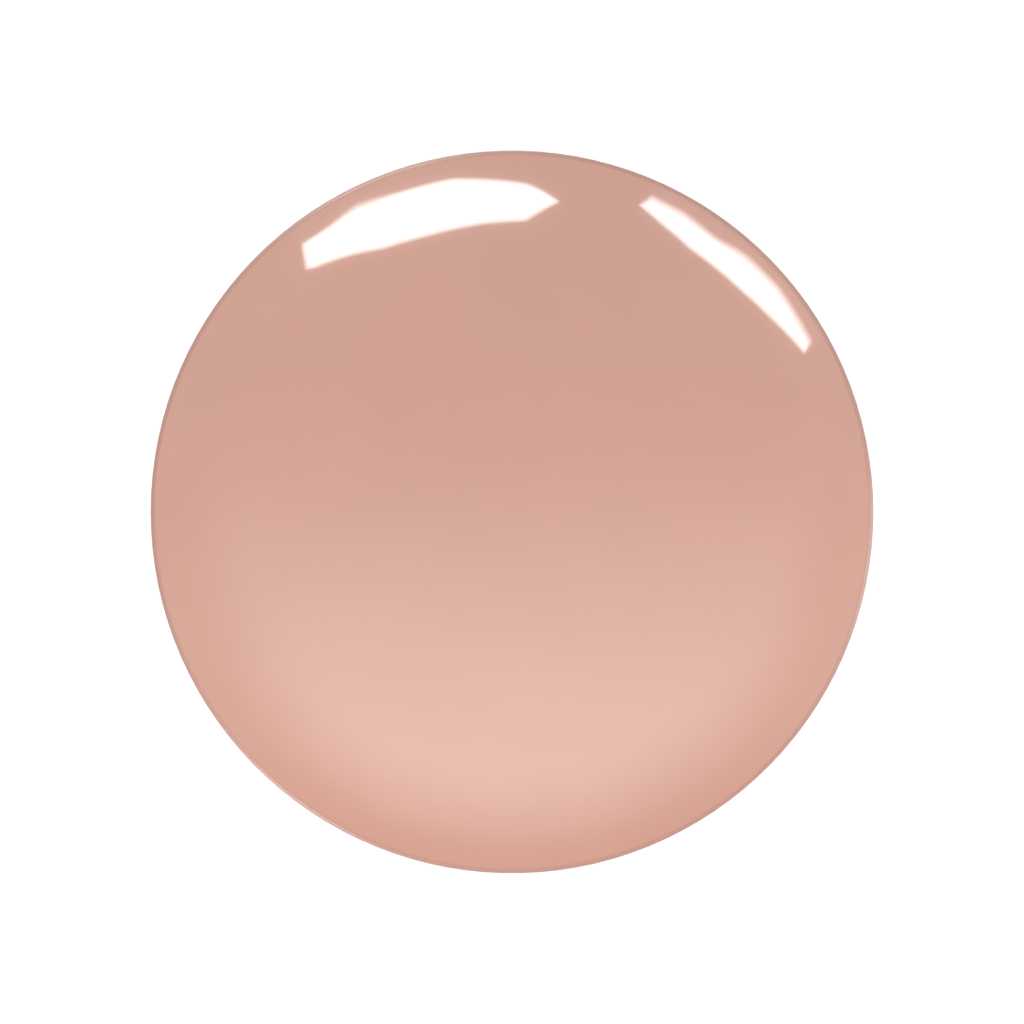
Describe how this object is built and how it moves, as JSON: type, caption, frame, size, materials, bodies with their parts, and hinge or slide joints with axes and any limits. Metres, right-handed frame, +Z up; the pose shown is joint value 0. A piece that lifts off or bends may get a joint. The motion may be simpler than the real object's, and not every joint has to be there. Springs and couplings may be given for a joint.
{
  "type": "nail polish bottle",
  "caption": "Round glass nail polish bottle with a brush on its screw closure and a pull-off overcap that carries a domed glossy shade button in the polish's colour.",
  "frame": {"origin": "centre of the bottle's foot, on the plane it rests on", "axes": "+Z up along the bottle's axis, towards the shade button"},
  "size_m": [0.03, 0.03, 0.0794],
  "materials": {
    "bottle_glass": "clear, polished, thick walled",
    "polish": "opaque creme liquid",
    "steel_ball_1": "polished ball",
    "steel_ball_2": "polished ball",
    "label_film": "blank printed-side-in film",
    "washer_foam": "soft polyethylene foam",
    "cap_polypropylene": "satin moulded polypropylene",
    "rod_polyethylene": "satin moulded polyethylene",
    "staple_wire": "drawn wire",
    "nylon_bristle": "fine nylon filament",
    "overcap_gloss": "high gloss, same shade as the polish",
    "insert_polypropylene": "satin moulded polypropylene",
    "pad_adhesive": "double-sided adhesive film",
    "dome_gloss": "high gloss under clear lacquer"
  },
  "bodies": {
    "bottle": {"glass_bottle": "bottle_glass", "polish_fill": "polish", "mixing_ball_1": "steel_ball_1", "mixing_ball_2": "steel_ball_2", "base_label": "label_film"},
    "seal": {"sealing_washer": "washer_foam"},
    "closure": {"inner_cap": "cap_polypropylene", "brush_rod": "rod_polyethylene", "brush_staple": "staple_wire", "bristle_tuft": "nylon_bristle"},
    "overcap": {"overcap_shell": "overcap_gloss", "overcap_insert": "insert_polypropylene", "adhesive_pad": "pad_adhesive", "shade_dome": "dome_gloss"}
  },
  "joints": [
    {"name": "cap_rise", "type": "slide", "parent": "bottle", "child": "seal", "axis": [0, 0, 1], "range_m": [0, 0.0552]},
    {"name": "cap_turn", "type": "hinge", "parent": "seal", "child": "closure", "pos_m": [0, 0, 0.0556], "axis": [0, 0, 1], "range_deg": [0, 9360]},
    {"name": "overcap_pull", "type": "slide", "parent": "closure", "child": "overcap", "axis": [0, 0, 1], "range_m": [0, 0.027]}
  ],
  "couplings": [
    {"joint": "cap_rise", "follows": "cap_turn", "m_per_rad": 0.00033688}
  ]
}
